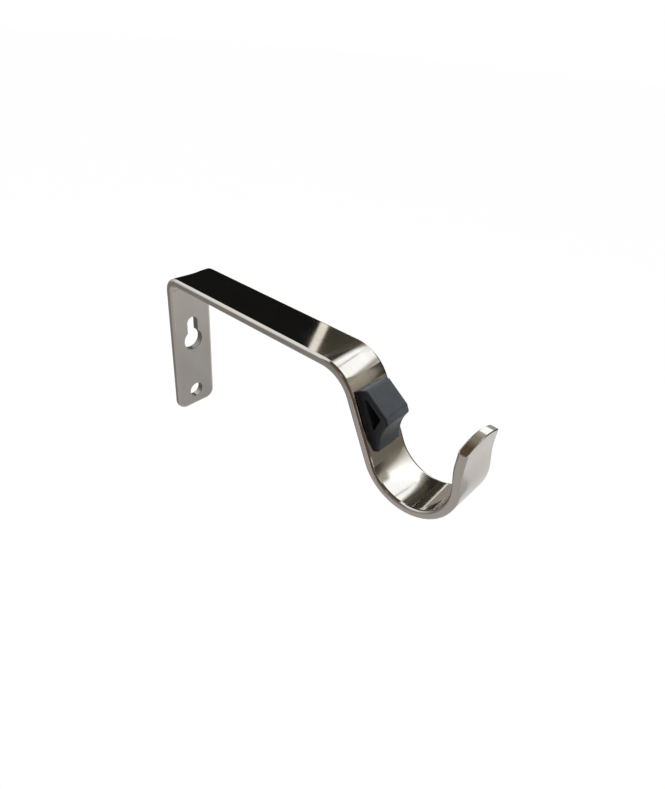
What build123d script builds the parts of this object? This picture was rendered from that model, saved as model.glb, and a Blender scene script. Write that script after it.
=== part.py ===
"""Curtain pole bracket: a bent steel strip with a moulded grip insert in its hook.

Frame: the wall is the plane X = 0 and +X leads away from it, Y runs along the pole, +Z is up.
The origin lies on the wall, in the middle of the strip, between the two fixing holes.
"""
from build123d import *
from math import cos, sin, sqrt, radians
import os

os.makedirs("parts", exist_ok=True)

# Strip stock
strip_width = 18.0
strip_thickness = 3.0
edge_radius = 0.36 * strip_thickness

# Wall plate, with heights measured from the origin
arm_top_height = 41.5
plate_bottom_height = -18.5
plate_corner_radius = 0.22 * strip_width
wall_bend_radius = 2.0 * strip_thickness
bend_saddle_depth = 0.32 * strip_thickness
bend_saddle_width = strip_width - 2.6 * edge_radius

# Arm, drop and hook, all measured on the face that the pole touches
arm_end = 78.2
drop_bend_radius = 15.0
drop_angle = 63.5
run_length = 21.75
cup_radius = 14.2
lip_lean = 7.3
cup_angle = drop_angle + 90.0 + lip_lean
lip_length = 4.2
flare_radius = 8.0 * strip_thickness
flare_angle = 10.0
tip_length = 6.4
tip_arch_radius = 1.1 * strip_width
tip_corner_radius = 0.05 * strip_width
tip_edge_radius = 0.1 * strip_thickness

# Fixing holes in the wall plate
keyhole_head_radius = 4.2
keyhole_slot_radius = 2.4
keyhole_head_height = 12.4
keyhole_slot_height = 20.1
screw_hole_radius = 3.0
screw_hole_height = -11.7
hole_edge_radius = 0.1 * strip_thickness

# Grip insert, in lengths along the straight run and heights above it
insert_width = 0.65 * strip_width
insert_start = -0.05 * run_length
insert_end = 0.89 * run_length
insert_heel_height = 3.1
insert_ridge_height = 7.75
insert_ridge_start = 0.35 * run_length
insert_seat_step = 1.0
insert_seat_radius = cup_radius - insert_seat_step
insert_wall = 2.0
insert_floor = 1.7
insert_web = 2.4
insert_edge_radius = 0.75
heel_radius = 0.9
ridge_radius = 1.1
toe_radius = 0.8
hollow_corner_radius = 0.4

# Stud that holds the insert in the strip
stud_radius = 2.5
stud_clearance = 0.1
stud_recess = 0.4
stud_lead = 0.4
stud_place = 0.42 * run_length

# The straight run between the drop bend and the cup, and the planes the insert is drawn on
drop_rad = radians(drop_angle)
run_start_x = arm_end + drop_bend_radius * sin(drop_rad)
run_start_z = arm_top_height - drop_bend_radius * (1 - cos(drop_rad))
run_dir = Vector(cos(drop_rad), 0, -sin(drop_rad))
run_up = Vector(sin(drop_rad), 0, cos(drop_rad))
run_side = Plane(origin=(run_start_x, 0, run_start_z), x_dir=run_dir, z_dir=(0, -1, 0))
run_face = Plane(origin=(run_start_x, 0, run_start_z), x_dir=run_dir, z_dir=run_up)

# Outer crown of the wall bend, where the strip sinks a little across its width
crown_out = Vector(-1, 0, 1).normalized()
crown = Vector(wall_bend_radius, 0, arm_top_height - wall_bend_radius) + crown_out * wall_bend_radius
saddle_radius = (bend_saddle_width / 2) ** 2 / (2 * bend_saddle_depth) + bend_saddle_depth / 2
saddle_plane = Plane(
    origin=crown + crown_out * (saddle_radius - bend_saddle_depth), x_dir=(0, 1, 0), z_dir=(1, 0, 1)
)

# Outline kept at the lip's end, with its peak at the origin: an arch whose shoulders cross the sides
tip_shoulder = 0.05 * tip_corner_radius
with BuildSketch() as tip_outline:
    Rectangle(strip_width + 2 * tip_shoulder, 2 * tip_length)
    with Locations((0, -tip_arch_radius)):
        Circle(tip_arch_radius, mode=Mode.INTERSECT)
    fillet(tip_outline.vertices().group_by(Axis.Y)[-1], tip_corner_radius)

with BuildPart() as bracket_strip:
    with BuildSketch(Plane.XZ) as strip_profile:
        with BuildLine() as pole_side:
            plate_line = Line((0, plate_bottom_height), (0, arm_top_height - wall_bend_radius))
            wall_bend = JernArc(plate_line @ 1, plate_line % 1, wall_bend_radius, -90)
            arm_line = Line(wall_bend @ 1, (arm_end, arm_top_height))
            drop_bend = JernArc(arm_line @ 1, arm_line % 1, drop_bend_radius, -drop_angle)
            run_line = Line(drop_bend @ 1, drop_bend @ 1 + (drop_bend % 1) * run_length)
            cup_arc = JernArc(run_line @ 1, run_line % 1, cup_radius, cup_angle)
            lip_line = Line(cup_arc @ 1, cup_arc @ 1 + (cup_arc % 1) * lip_length)
            flare_arc = JernArc(lip_line @ 1, lip_line % 1, flare_radius, -flare_angle)
            tip_line = Line(flare_arc @ 1, flare_arc @ 1 + (flare_arc % 1) * tip_length)
            offset(amount=strip_thickness, side=Side.RIGHT)
        make_face()
    extrude(amount=strip_width / 2, both=True)

    # Rounded foot of the wall plate
    fillet(bracket_strip.edges().filter_by(Axis.X).sort_by(Axis.Z)[:2], plate_corner_radius)

    # Rolled edge along both sides and round the foot, on both faces of the strip
    outline = bracket_strip.edges().filter_by(
        lambda e: abs(e.length - strip_thickness) > 0.001 and abs(e.length - strip_width) > 0.001
    )
    fillet(outline, edge_radius)

    # The lip is cut to an arched end with eased corners, which stays crisper than the rolled sides
    tip_end = tip_line @ 1
    tip_dir = tip_line % 1
    tip_plane = Plane(origin=(tip_end.X, 0, tip_end.Y), x_dir=(0, 1, 0), z_dir=(tip_dir.Y, 0, -tip_dir.X))
    with BuildSketch(tip_plane) as tip_waste:
        Rectangle(2 * strip_width, 2 * tip_length)
        add(tip_outline.sketch, mode=Mode.SUBTRACT)
    extrude(amount=2 * strip_thickness, both=True, mode=Mode.SUBTRACT)
    lip_faces = bracket_strip.faces().filter_by_position(Axis.X, cup_arc.arc_center.X, tip_end.X + strip_width)
    tip_faces = lip_faces.sort_by(Axis(tip_plane.origin, tip_plane.y_dir))[-3:]
    tip_seams = tip_faces[-1].edges().filter_by(Axis(tip_plane.origin, tip_plane.z_dir))
    tip_rim = tip_faces.edges().filter_by(lambda e: not any(e.is_same(seam) for seam in tip_seams))
    fillet(tip_rim, tip_edge_radius)

    # The crown of the wall bend sinks between its edges
    with BuildSketch(saddle_plane) as saddle:
        Circle(saddle_radius)
    extrude(amount=3 * wall_bend_radius, both=True, mode=Mode.SUBTRACT)

    # Keyhole and screw hole through the wall plate
    with BuildSketch(Plane.YZ) as fixing_holes:
        with Locations((0, keyhole_head_height)):
            Circle(keyhole_head_radius)
        with Locations((0, keyhole_slot_height)):
            Circle(keyhole_slot_radius)
        with Locations((0, (keyhole_head_height + keyhole_slot_height) / 2)):
            Rectangle(2 * keyhole_slot_radius, keyhole_slot_height - keyhole_head_height)
        with Locations((0, screw_hole_height)):
            Circle(screw_hole_radius)
    extrude(amount=2 * strip_thickness, both=True, mode=Mode.SUBTRACT)
    plate_faces = bracket_strip.faces().filter_by(Axis.X).filter_by(lambda f: len(f.inner_wires()) > 0)
    fillet([e for f in plate_faces for w in f.inner_wires() for e in w.edges()], hole_edge_radius)

    # Hole for the insert's stud
    with BuildSketch(run_face) as stud_hole:
        with Locations((stud_place, 0)):
            Circle(stud_radius + stud_clearance)
    extrude(amount=2 * strip_thickness, both=True, mode=Mode.SUBTRACT)

bracket_strip.part.label = "bracket_strip"
export_step(bracket_strip.part, "parts/bracket_strip.step")

# Corners of the insert's side, on the run's own plane
seat_centre = Vector(run_length, cup_radius)
ridge_end = run_length - sqrt(insert_seat_radius**2 - (cup_radius - insert_ridge_height) ** 2)
toe_height = cup_radius - sqrt(insert_seat_radius**2 - (run_length - insert_end) ** 2)
seat_top = Vector(ridge_end, insert_ridge_height)
seat_toe = Vector(insert_end, toe_height)
seat_mid = seat_centre + ((seat_top + seat_toe) * 0.5 - seat_centre).normalized() * insert_seat_radius
ramp_slope = (insert_ridge_height - insert_heel_height) / (insert_ridge_start - insert_start)
ramp_wall = insert_wall * sqrt(1 + ramp_slope**2)
hollow_start = insert_start + (insert_floor + ramp_wall - insert_heel_height) / ramp_slope
hollow_peak = insert_ridge_start + 0.025 * run_length
hollow_peak_height = insert_heel_height + ramp_slope * (hollow_peak - insert_start) - ramp_wall
hollow_end = hollow_peak + hollow_peak_height - insert_floor

with BuildPart() as grip_insert:
    with BuildSketch(run_side) as insert_profile:
        with BuildLine():
            Polyline(seat_toe, (insert_end, 0), (insert_start, 0), (insert_start, insert_heel_height),
                     (insert_ridge_start, insert_ridge_height), seat_top)
            ThreePointArc(seat_top, seat_mid, seat_toe)
        make_face()
        fillet(insert_profile.vertices().sort_by_distance((insert_start, insert_heel_height))[0], heel_radius)
        fillet(insert_profile.vertices().sort_by_distance((insert_ridge_start, insert_ridge_height))[0], ridge_radius)
        fillet(insert_profile.vertices().sort_by_distance(seat_top)[0], ridge_radius)
        fillet(insert_profile.vertices().sort_by_distance(seat_toe)[0], toe_radius)
    extrude(amount=insert_width / 2, both=True)

    # Eased outline of both sides, apart from the edge that lies on the strip
    side_outline = grip_insert.faces().filter_by(Axis.Y).edges().filter_by(
        lambda e: e.length < insert_end - insert_start - 0.01
    )
    fillet(side_outline, insert_edge_radius)

    # Hollow cored from both sides, up to a web in the middle
    for side in (1, -1):
        with BuildSketch(run_side.offset(side * insert_web / 2)) as hollow:
            with BuildLine():
                Polyline((hollow_start, insert_floor), (hollow_end, insert_floor),
                         (hollow_peak, hollow_peak_height), close=True)
            make_face()
            fillet(hollow.vertices(), hollow_corner_radius)
        extrude(amount=side * insert_width, mode=Mode.SUBTRACT)

    # Stud that presses into the strip
    with BuildSketch(run_face) as stud:
        with Locations((stud_place, 0)):
            Circle(stud_radius)
    extrude(amount=-(strip_thickness - stud_recess))
    chamfer(grip_insert.edges().sort_by(Axis((0, 0, 0), run_up))[0], stud_lead)

grip_insert.part.label = "grip_insert"
export_step(grip_insert.part, "parts/grip_insert.step")
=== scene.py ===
from math import cos, pi, radians, sin

import bmesh
import bpy
from mathutils import Matrix, Vector

# The bracket stands out from the wall plane X = 0 along +X, the pole lies along Y and +Z is up.
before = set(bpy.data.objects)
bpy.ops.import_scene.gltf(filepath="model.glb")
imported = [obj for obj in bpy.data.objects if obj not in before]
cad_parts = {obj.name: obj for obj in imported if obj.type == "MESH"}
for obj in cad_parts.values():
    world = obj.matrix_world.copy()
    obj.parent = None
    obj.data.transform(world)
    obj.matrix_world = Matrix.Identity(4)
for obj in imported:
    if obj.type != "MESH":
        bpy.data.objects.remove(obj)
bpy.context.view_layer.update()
scene = bpy.context.scene
scene.view_settings.view_transform = "Standard"

# Each pattern has its scale per metre along X, Y and Z, its detail and that detail's roughness.
# Each box has its middle and its half size, in metres.

# Nickel plating on the strip
NICKEL = (0.70, 0.675, 0.635, 1.0)
NICKEL_SHADE = (0.63, 0.605, 0.565, 1.0)
PLATING_CLOUDS = ((70.0, 110.0, 70.0), 3.0, 0.55)
BRUSH_LINES = ((9.0, 2400.0, 9.0), 3.0, 0.6)
BRUSH_STRENGTH = 0.05
BRUSH_DEPTH = 0.00004
POLISH_STREAKS = ((25.0, 420.0, 25.0), 2.0, 0.5)
FLAT_ROUGHNESS = (0.035, 0.065)

# The bent stretch from the drop to the lip is a little duller
BENT_BOX = ((0.112, 0.0, 0.015), (0.038, 0.03, 0.08))
BENT_ROUGHNESS = (0.06, 0.11)

# The walls of the punched holes are not polished, and their darker colour is painted shade inside
# the holes
PUNCHED_BOX = ((0.0015, 0.0, 0.004), (0.0014, 0.006, 0.020))
HOLE_WALL_PAINTED_SHADE = (0.34, 0.32, 0.295, 1.0)
PUNCHED_ROUGHNESS = 0.40

# A box's share falls from 1 to 0 over the last part of its half size
BOX_EDGE = (0.88, 1.0)

# Moulded plastic of the insert
PLASTIC = (0.086, 0.098, 0.110, 1.0)
PLASTIC_SHADE = (0.073, 0.083, 0.093, 1.0)
PLASTIC_ROUGHNESS = (0.30, 0.42)
PLASTIC_IOR = 1.5
PLASTIC_SPECULAR = 0.25
MOULD_PATCHES = ((240.0, 240.0, 240.0), 3.0, 0.55)
MOULD_GRAIN = ((2600.0, 2600.0, 2600.0), 2.0, 0.6)
GRAIN_STRENGTH = 0.25
GRAIN_DEPTH = 0.00005

# Parts of a noise's range that carry its patches and its streaks
PATCH_RANGE = (0.3, 0.7)
STREAK_RANGE = (0.25, 0.75)
FULL_RANGE = (0.0, 1.0)

# Camera, in metres and degrees
EYE = Vector((0.17812, -0.12723, 0.13315))
EYE_AZIMUTH = 38.558
EYE_ELEVATION = 34.103
EYE_ROLL = 5.144
FRAME_HEIGHT_PX = 789
FOCAL_PX = 597.139
SENSOR_MM = 36.0
NEAREST_SEEN = 0.01

# The studio is set out round the middle of the bracket
STUDIO_MIDDLE = Vector((0.075, 0.0, 0.025))
WHITE = (1.0, 1.0, 1.0, 1.0)
FILL_STRENGTH = 0.08
FLOOR_HEIGHT = -0.32
FLOOR_RADIUS = 6.0
FLOOR_SIDES = 64
FLOOR_COLOUR = (0.86, 0.86, 0.855, 1.0)
FLOOR_GLOW = 1.095
FLOOR_GLOW_SHARE = 0.9
SOFTBOX_PLACE = (0.14, 0.30, 0.55)
SOFTBOX_WIDTH = 0.5
SOFTBOX_HEIGHT = 0.35
SOFTBOX_RADIANCE = 6.4

# Colours of the glowing cards that the polished nickel mirrors, from dark to bright: painted
# reflections, since the cards are no lamps and show only in the metal
BLACK = (0.010, 0.010, 0.010)
NEAR_BLACK = (0.024, 0.021, 0.016)
OLIVE = (0.055, 0.050, 0.038)
PALE_OLIVE = (0.11, 0.10, 0.075)
UMBER = (0.12, 0.080, 0.055)
DARK_KHAKI = (0.19, 0.17, 0.14)
SHADED_KHAKI = (0.19, 0.17, 0.145)
WARM_GREY = (0.24, 0.228, 0.212)
DUSKY_GREY = (0.25, 0.238, 0.228)
TAUPE = (0.28, 0.265, 0.22)
SAND = (0.30, 0.27, 0.21)
SLATE_GREY = (0.30, 0.285, 0.27)
RUSSET = (0.32, 0.25, 0.21)
BROWN = (0.36, 0.32, 0.29)
DARK_GREY = (0.40, 0.39, 0.385)
STONE_GREY = (0.45, 0.42, 0.40)
ROSY_GREY = (0.46, 0.43, 0.42)
KHAKI = (0.47, 0.44, 0.37)
PUTTY_GREY = (0.51, 0.50, 0.48)
GREY = (0.52, 0.51, 0.485)
ASH_GREY = (0.55, 0.53, 0.51)
SEAM_GREY = (0.55, 0.55, 0.54)
PALE_GREY = (0.74, 0.72, 0.71)
OFF_WHITE = (0.95, 0.94, 0.90)
CREAM = (1.13, 1.07, 0.96)
PALE_CREAM = (1.15, 1.08, 0.97)
BRIGHT = (1.46, 1.49, 1.53)
BRIGHTEST = (1.66, 1.67, 1.70)


def add_node(tree, kind, **sockets):
    """A node of that kind, with values on its named sockets."""
    made = tree.nodes.new(kind)
    for name, value in sockets.items():
        made.inputs[name.replace("_", " ")].default_value = value
    return made


def new_material(name):
    """An empty material, its tree and its output."""
    material = bpy.data.materials.new(name)
    material.use_nodes = True
    tree = material.node_tree
    tree.nodes.clear()
    return material, tree, tree.nodes.new("ShaderNodeOutputMaterial")


def noise_on_object(tree, scale, detail, roughness):
    """Noise on Object coordinates, stretched by a scale per axis."""
    place = tree.nodes.new("ShaderNodeTexCoord")
    stretch = add_node(tree, "ShaderNodeMapping", Scale=scale)
    noise = add_node(tree, "ShaderNodeTexNoise", Scale=1.0, Detail=detail, Roughness=roughness)
    tree.links.new(place.outputs["Object"], stretch.inputs["Vector"])
    tree.links.new(stretch.outputs["Vector"], noise.inputs["Vector"])
    return noise.outputs["Fac"]


def spread(tree, source, span, onto):
    """A span of the source's values, laid over another span."""
    ramp = add_node(
        tree, "ShaderNodeMapRange",
        From_Min=span[0], From_Max=span[1], To_Min=onto[0], To_Max=onto[1],
    )
    tree.links.new(source, ramp.inputs["Value"])
    return ramp.outputs["Result"]


def blend(tree, kind, share, first, second):
    """First at share 0 and second at share 1, where each is a value or the output of a node."""
    mix = tree.nodes.new("ShaderNodeMix")
    mix.data_type = kind
    tree.links.new(share, mix.inputs["Factor"])
    for socket, value in ((mix.inputs["A"], first), (mix.inputs["B"], second)):
        if isinstance(value, bpy.types.NodeSocket):
            tree.links.new(value, socket)
        else:
            socket.default_value = value
    return mix.outputs["Result"]


def larger(tree, first, second):
    """The larger of two outputs."""
    step = tree.nodes.new("ShaderNodeMath")
    step.operation = "MAXIMUM"
    tree.links.new(first, step.inputs[0])
    tree.links.new(second, step.inputs[1])
    return step.outputs["Value"]


def vector_step(tree, operation, vector, amount):
    """Subtract a fixed vector from another one, or divide by it."""
    step = tree.nodes.new("ShaderNodeVectorMath")
    step.operation = operation
    step.inputs[1].default_value = amount
    tree.links.new(vector, step.inputs[0])
    return step.outputs["Vector"]


def inside_box(tree, middle, half_size):
    """1 within a box given in object coordinates and 0 outside it."""
    place = tree.nodes.new("ShaderNodeTexCoord")
    offset = vector_step(tree, "SUBTRACT", place.outputs["Object"], middle)
    share = vector_step(tree, "DIVIDE", offset, half_size)
    distance = tree.nodes.new("ShaderNodeVectorMath")
    distance.operation = "ABSOLUTE"
    tree.links.new(share, distance.inputs[0])
    axes = tree.nodes.new("ShaderNodeSeparateXYZ")
    tree.links.new(distance.outputs["Vector"], axes.inputs["Vector"])
    furthest = larger(tree, larger(tree, axes.outputs["X"], axes.outputs["Y"]), axes.outputs["Z"])
    return spread(tree, furthest, BOX_EDGE, (1.0, 0.0))


def raise_relief(tree, height, strength, depth, shader):
    """A fine relief on the shader, from the height that a pattern gives."""
    relief = add_node(tree, "ShaderNodeBump", Strength=strength, Distance=depth)
    tree.links.new(height, relief.inputs["Height"])
    tree.links.new(relief.outputs["Normal"], shader.inputs["Normal"])


def brushed_nickel():
    """Polished plating over a strip that was brushed along its length."""
    material, tree, output = new_material("brushed_nickel")
    metal = add_node(tree, "ShaderNodeBsdfPrincipled", Metallic=1.0)
    lines = noise_on_object(tree, *BRUSH_LINES)
    streaks = noise_on_object(tree, *POLISH_STREAKS)
    clouds = noise_on_object(tree, *PLATING_CLOUDS)
    punched = inside_box(tree, *PUNCHED_BOX)
    bent = inside_box(tree, *BENT_BOX)
    cloud_share = spread(tree, clouds, PATCH_RANGE, FULL_RANGE)
    plating = blend(tree, "RGBA", cloud_share, NICKEL, NICKEL_SHADE)
    flat_polish = spread(tree, streaks, STREAK_RANGE, FLAT_ROUGHNESS)
    bent_polish = spread(tree, streaks, STREAK_RANGE, BENT_ROUGHNESS)
    polish = blend(tree, "FLOAT", bent, flat_polish, bent_polish)
    # The hole walls take a darker colour, which is painted shade inside the holes, and a duller
    # roughness
    colour = blend(tree, "RGBA", punched, plating, HOLE_WALL_PAINTED_SHADE)
    roughness = blend(tree, "FLOAT", punched, polish, PUNCHED_ROUGHNESS)
    tree.links.new(colour, metal.inputs["Base Color"])
    tree.links.new(roughness, metal.inputs["Roughness"])
    raise_relief(tree, lines, BRUSH_STRENGTH, BRUSH_DEPTH, metal)
    tree.links.new(metal.outputs["BSDF"], output.inputs["Surface"])
    return material


def moulded_plastic():
    """Near-black plastic with the fine grain of its mould."""
    material, tree, output = new_material("moulded_plastic")
    plastic = add_node(tree, "ShaderNodeBsdfPrincipled", Metallic=0.0, IOR=PLASTIC_IOR)
    plastic.inputs["Specular IOR Level"].default_value = PLASTIC_SPECULAR
    grain = noise_on_object(tree, *MOULD_GRAIN)
    patches = noise_on_object(tree, *MOULD_PATCHES)
    patch_share = spread(tree, patches, PATCH_RANGE, FULL_RANGE)
    colour = blend(tree, "RGBA", patch_share, PLASTIC, PLASTIC_SHADE)
    roughness = spread(tree, patches, PATCH_RANGE, PLASTIC_ROUGHNESS)
    tree.links.new(colour, plastic.inputs["Base Color"])
    tree.links.new(roughness, plastic.inputs["Roughness"])
    raise_relief(tree, grain, GRAIN_STRENGTH, GRAIN_DEPTH, plastic)
    tree.links.new(plastic.outputs["BSDF"], output.inputs["Surface"])
    return material


def place_camera():
    """The camera stands close to the bracket, above and to the right of it, and leans a little."""
    a, e, r = radians(EYE_AZIMUTH), radians(EYE_ELEVATION), radians(EYE_ROLL)
    level_right = Vector((cos(a), sin(a), 0.0))
    level_up = Vector((-sin(a) * sin(e), cos(a) * sin(e), cos(e)))
    back = Vector((sin(a) * cos(e), -cos(a) * cos(e), sin(e)))
    right = level_right * cos(r) + level_up * sin(r)
    up = level_up * cos(r) - level_right * sin(r)
    lens = bpy.data.cameras.new("camera")
    lens.sensor_fit = "VERTICAL"
    lens.sensor_height = SENSOR_MM
    lens.lens = FOCAL_PX * SENSOR_MM / FRAME_HEIGHT_PX
    lens.clip_start = NEAREST_SEEN
    holder = bpy.data.objects.new("camera", lens)
    scene.collection.objects.link(holder)
    holder.matrix_world = Matrix.Translation(EYE) @ Matrix((right, up, back)).transposed().to_4x4()
    scene.camera = holder


def seen_share(tree):
    """1 for the rays that see the set itself or see it in metal and glass, and 0 for the rest."""
    path = tree.nodes.new("ShaderNodeLightPath")
    direct_or_gloss = larger(tree, path.outputs["Is Camera Ray"], path.outputs["Is Glossy Ray"])
    return larger(tree, direct_or_gloss, path.outputs["Is Transmission Ray"])


def white_surround():
    """White all round for what sees it, and an even fill for the rest."""
    world = bpy.data.worlds.new("studio")
    world.use_nodes = True
    scene.world = world
    tree = world.node_tree
    tree.nodes.clear()
    output = tree.nodes.new("ShaderNodeOutputWorld")
    glow = add_node(tree, "ShaderNodeBackground", Color=WHITE)
    strength = spread(tree, seen_share(tree), FULL_RANGE, (FILL_STRENGTH, 1.0))
    tree.links.new(strength, glow.inputs["Strength"])
    tree.links.new(glow.outputs["Background"], output.inputs["Surface"])


def pale_floor():
    """A wide pale floor well below the bracket, which keeps the bracket's shadow."""
    mesh = bpy.data.meshes.new("floor")
    shape = bmesh.new()
    bmesh.ops.create_circle(shape, cap_ends=True, segments=FLOOR_SIDES, radius=FLOOR_RADIUS)
    bmesh.ops.translate(shape, vec=(0.0, 0.0, FLOOR_HEIGHT), verts=shape.verts)
    shape.to_mesh(mesh)
    shape.free()
    floor = bpy.data.objects.new("floor", mesh)
    scene.collection.objects.link(floor)
    material, tree, output = new_material("pale_floor")
    matt = add_node(tree, "ShaderNodeBsdfDiffuse", Color=FLOOR_COLOUR)
    glow = add_node(tree, "ShaderNodeEmission", Color=WHITE, Strength=FLOOR_GLOW)
    both = tree.nodes.new("ShaderNodeMixShader")
    glow_share = spread(tree, seen_share(tree), FULL_RANGE, (0.0, FLOOR_GLOW_SHARE))
    tree.links.new(glow_share, both.inputs["Fac"])
    tree.links.new(matt.outputs["BSDF"], both.inputs[1])
    tree.links.new(glow.outputs["Emission"], both.inputs[2])
    tree.links.new(both.outputs["Shader"], output.inputs["Surface"])
    mesh.materials.append(material)


def softbox():
    """A soft rectangular lamp above the bracket. The metal mirrors glowing cards of the set
    instead, which are painted reflections.
    """
    lamp = bpy.data.lights.new("softbox", "AREA")
    lamp.shape = "RECTANGLE"
    lamp.size = SOFTBOX_WIDTH
    lamp.size_y = SOFTBOX_HEIGHT
    lamp.energy = SOFTBOX_RADIANCE * pi * SOFTBOX_WIDTH * SOFTBOX_HEIGHT
    holder = bpy.data.objects.new("softbox", lamp)
    scene.collection.objects.link(holder)
    back = (Vector(SOFTBOX_PLACE) - STUDIO_MIDDLE).normalized()
    turn = back.to_track_quat("Z", "Y").to_matrix().to_4x4()
    holder.matrix_world = Matrix.Translation(SOFTBOX_PLACE) @ turn
    holder.visible_glossy = False


def card(name, corners, first, last=None, along="X", start=0.0, end=1.0):
    """A flat glowing card of the set, seen only in what is glossy. It is no lamp, so its colour is
    a painted reflection.

    It is one colour, or it fades from the first to the last along its first edge (X) or its
    second (Y), from the start to the end of the fade.
    """
    mesh = bpy.data.meshes.new(name)
    shape = bmesh.new()
    face = shape.faces.new([shape.verts.new(corner) for corner in corners])
    places = shape.loops.layers.uv.new("card")
    for loop, place in zip(face.loops, ((0.0, 0.0), (1.0, 0.0), (1.0, 1.0), (0.0, 1.0))):
        loop[places].uv = place
    shape.to_mesh(mesh)
    shape.free()
    holder = bpy.data.objects.new(name, mesh)
    scene.collection.objects.link(holder)
    material, tree, output = new_material(name)
    glow = add_node(tree, "ShaderNodeEmission", Color=(*first, 1.0), Strength=1.0)
    if last:
        place = tree.nodes.new("ShaderNodeTexCoord")
        split = tree.nodes.new("ShaderNodeSeparateXYZ")
        tree.links.new(place.outputs["UV"], split.inputs["Vector"])
        share = spread(tree, split.outputs[along], (start, end), FULL_RANGE)
        colour = blend(tree, "RGBA", share, (*first, 1.0), (*last, 1.0))
        tree.links.new(colour, glow.inputs["Color"])
    tree.links.new(glow.outputs["Emission"], output.inputs["Surface"])
    mesh.materials.append(material)
    holder.visible_camera = False
    holder.visible_diffuse = False
    holder.visible_shadow = False


def upright_card(name, y, corners, *colours, **fade):
    """A card across the set, from its corners in X and Z."""
    card(name, [(x, y, z) for x, z in corners], *colours, **fade)


def level_card(name, z, corners, *colours, **fade):
    """A card that lies level, from its corners in X and Y."""
    card(name, [(x, y, z) for x, y in corners], *colours, **fade)


def cards_behind_arm():
    """Painted reflections on glowing cards, which the top of the arm mirrors: a black back with one
    bright strip and an olive end.
    """
    upright_card(
        "black_flag", 0.3, [(-0.8, -0.42), (-0.1, -0.42), (-0.1, 0.31), (-0.8, 0.31)],
        BLACK,
    )
    upright_card(
        "black_flag_top", 0.3, [(-0.8, 0.31), (-0.17, 0.31), (-0.17, 0.37), (-0.8, 0.37)],
        BLACK,
    )
    upright_card(
        "bright_strip", 0.293, [(-0.173, 0.215), (-0.162, 0.215), (-0.199, 0.31), (-0.21, 0.31)],
        CREAM,
    )
    upright_card(
        "olive_card", 0.298, [(-0.157, 0.19), (-0.06, 0.19), (-0.06, 0.31), (-0.205, 0.31)],
        OLIVE, PALE_OLIVE,
    )
    upright_card(
        "olive_lower", 0.2985, [(-0.3, 0.0), (0.02, 0.0), (0.02, 0.195), (-0.3, 0.195)],
        OLIVE,
    )
    upright_card(
        "olive_upper", 0.297, [(-0.06, 0.19), (0.12, 0.19), (0.12, 0.31), (-0.06, 0.31)],
        PALE_OLIVE,
    )
    upright_card(
        "olive_top", 0.297, [(-0.14, 0.31), (0.12, 0.31), (0.12, 0.4), (-0.17, 0.4)],
        OLIVE,
    )


def cards_of_softbox():
    """Painted reflections of the softbox's lit front, its seam and its shaded edges, on glowing
    cards, for the drop bend and the cup.
    """
    upright_card(
        "softbox_notch", 0.2935, [(-0.045, 0.292), (0.13, 0.292), (0.09, 0.315), (-0.045, 0.315)],
        TAUPE,
    )
    upright_card(
        "softbox_front", 0.294, [(-0.05, 0.308), (0.42, 0.308), (0.42, 0.385), (-0.05, 0.385)],
        OLIVE, BRIGHT, end=0.12,
    )
    upright_card(
        "softbox_foot", 0.295, [(0.1, 0.26), (0.42, 0.26), (0.42, 0.31), (0.1, 0.31)],
        KHAKI, BRIGHT, along="Y", start=0.46, end=0.86,
    )
    upright_card(
        "softbox_seam", 0.292, [(0.046, 0.333), (0.064, 0.333), (0.118, 0.385), (0.1, 0.385)],
        SEAM_GREY,
    )
    upright_card(
        "khaki_card", 0.2955, [(0.28, -0.1), (0.8, -0.1), (0.8, 0.262), (0.28, 0.262)],
        DARK_KHAKI, KHAKI, along="Y", start=0.36,
    )
    upright_card(
        "far_flag", 0.2953, [(0.09, -0.1), (0.39, -0.1), (0.352, 0.12), (0.09, 0.12)],
        BLACK,
    )
    upright_card(
        "far_flag_top", 0.2953, [(0.09, 0.12), (0.378, 0.12), (0.29, 0.256), (0.09, 0.21)],
        BLACK,
    )
    level_card(
        "ceiling_card", 0.56, [(-0.06, -0.5), (0.7, -0.5), (0.7, 0.47), (-0.06, 0.47)],
        UMBER, SAND, along="Y", start=0.65, end=0.85,
    )


def cards_for_hook():
    """Brown, dark and bright glowing cards that the cup and the end of the lip mirror: painted
    reflections, with a painted highlight and a painted dark patch in the cup.
    """
    upright_card(
        "brown_card", 0.296, [(-0.5, -0.3), (-0.02, -0.3), (-0.02, 0.14), (-0.5, -0.048)],
        BROWN,
    )
    upright_card(
        "light_line", 0.293, [(-0.35, 0.005), (-0.1, 0.104), (-0.1, 0.128), (-0.35, 0.029)],
        PALE_CREAM,
    )
    upright_card(
        "cup_shade", 0.2952, [(0.446, 0.06), (0.6, 0.06), (0.6, 0.205), (0.417, 0.205)],
        OLIVE,
    )
    upright_card(
        "cup_edge_left", 0.2932, [(-0.125, 0.195), (-0.02, 0.262), (-0.02, 0.29), (-0.125, 0.222)],
        NEAR_BLACK,
    )
    upright_card(
        "cup_edge_right", 0.2932, [(-0.02, 0.262), (0.055, 0.288), (0.055, 0.305), (-0.02, 0.29)],
        NEAR_BLACK,
    )
    upright_card(
        "khaki_back", 0.2963, [(-0.02, 0.22), (0.09, 0.22), (0.09, 0.31), (-0.02, 0.31)],
        KHAKI,
    )
    upright_card(
        "white_back", 0.2965, [(-0.02, 0.075), (0.09, 0.075), (0.09, 0.22), (-0.02, 0.22)],
        BRIGHT,
    )
    upright_card(
        "grey_back", 0.2965, [(-0.02, -0.08), (0.09, -0.08), (0.09, 0.075), (-0.02, 0.075)],
        DARK_GREY,
    )
    upright_card(
        "cup_light", 0.02, [(0.1156, 0.0142), (0.1288, 0.0241), (0.1213, 0.0341), (0.1081, 0.0242)],
        KHAKI, BRIGHTEST, along="Y", start=0.04, end=0.48,
    )
    upright_card(
        "tip_flag", 0.03, [(0.112, 0.0595), (0.136, 0.0595), (0.136, 0.075), (0.112, 0.075)],
        KHAKI, SAND, along="Y",
    )


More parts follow.
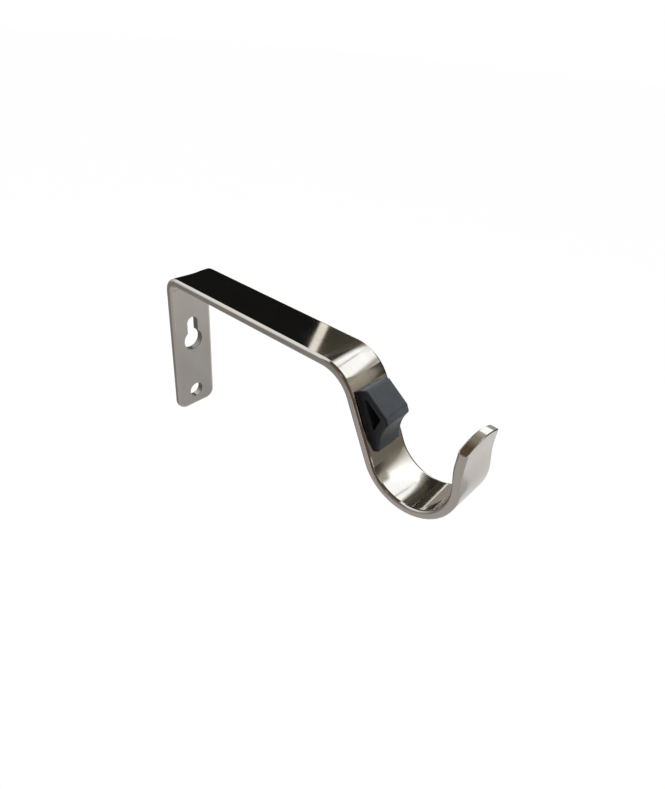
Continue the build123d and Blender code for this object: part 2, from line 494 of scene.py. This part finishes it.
def cards_in_front():
    """The dark near side of the set on glowing cards, a painted reflection that shows as a brown
    line in the rolled edge.
    """
    card(
        "front_flag",
        [(0.54, -0.115, -0.12), (0.25, -0.75, -0.12), (0.25, -0.75, 0.56), (0.54, -0.115, 0.56)],
        UMBER,
    )
    card(
        "front_top",
        [(0.7, 0.48, 0.26), (0.54, -0.115, 0.1), (0.54, -0.115, 0.56), (0.7, 0.48, 0.75)],
        RUSSET,
    )
    card(
        "front_band",
        [(0.7, 0.24, 0.093), (0.54, -0.115, 0.0), (0.54, -0.115, 0.1), (0.7, 0.24, 0.234)],
        UMBER,
    )
    upright_card(
        "camera_side", -0.74, [(-0.42, 0.2), (0.3, -0.06), (0.3, 1.3), (-0.42, 1.3)],
        SHADED_KHAKI,
    )
    upright_card(
        "front_left", -0.75, [(-1.4, -0.32), (0.2, -0.32), (0.2, 0.45), (-1.4, 0.45)],
        SLATE_GREY, ASH_GREY, along="Y", start=0.4,
    )


def cards_at_left_and_below():
    """Grey glowing cards that the wall plate, the near edge of the arm and the outside of the lip
    mirror, as painted reflections.
    """
    card(
        "left_wall",
        [(-0.6, -0.75, -0.32), (-0.6, 0.15, -0.32), (-0.6, 0.15, 0.55), (-0.6, -0.75, 0.55)],
        WARM_GREY, OFF_WHITE, along="Y", start=0.25, end=0.88,
    )
    level_card(
        "left_card", -0.314, [(-1.2, -1.2), (0.5, -1.2), (0.5, -0.1), (-1.2, -0.1)],
        DUSKY_GREY, ROSY_GREY, start=0.5, end=0.635,
    )
    level_card(
        "left_floor", -0.312, [(-1.5, -0.1), (-0.12, -0.1), (-0.12, 1.2), (-1.5, 1.2)],
        WARM_GREY,
    )
    level_card(
        "front_floor", -0.31, [(0.2, -0.8), (0.9, -0.8), (0.9, 0.2), (0.2, 0.05)],
        STONE_GREY,
    )
    level_card(
        "grey_card", -0.308, [(0.2, 0.3), (0.3, 0.06), (1.0, 0.4), (0.8, 0.7)],
        DARK_GREY, GREY, along="Y", start=0.15, end=0.6,
    )
    level_card(
        "under_card", -0.315, [(-0.12, -0.1), (0.6, -0.1), (0.6, 0.27), (-0.12, 0.27)],
        PUTTY_GREY,
    )
    level_card("pale_card", -0.316, [(-0.5, -0.2), (0.9, -0.2), (0.9, 1.2), (-0.5, 1.2)], PALE_GREY)


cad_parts["bracket_strip"].material_slots[0].material = brushed_nickel()
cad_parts["grip_insert"].material_slots[0].material = moulded_plastic()

place_camera()
white_surround()
pale_floor()
softbox()
cards_behind_arm()
cards_of_softbox()
cards_for_hook()
cards_in_front()
cards_at_left_and_below()
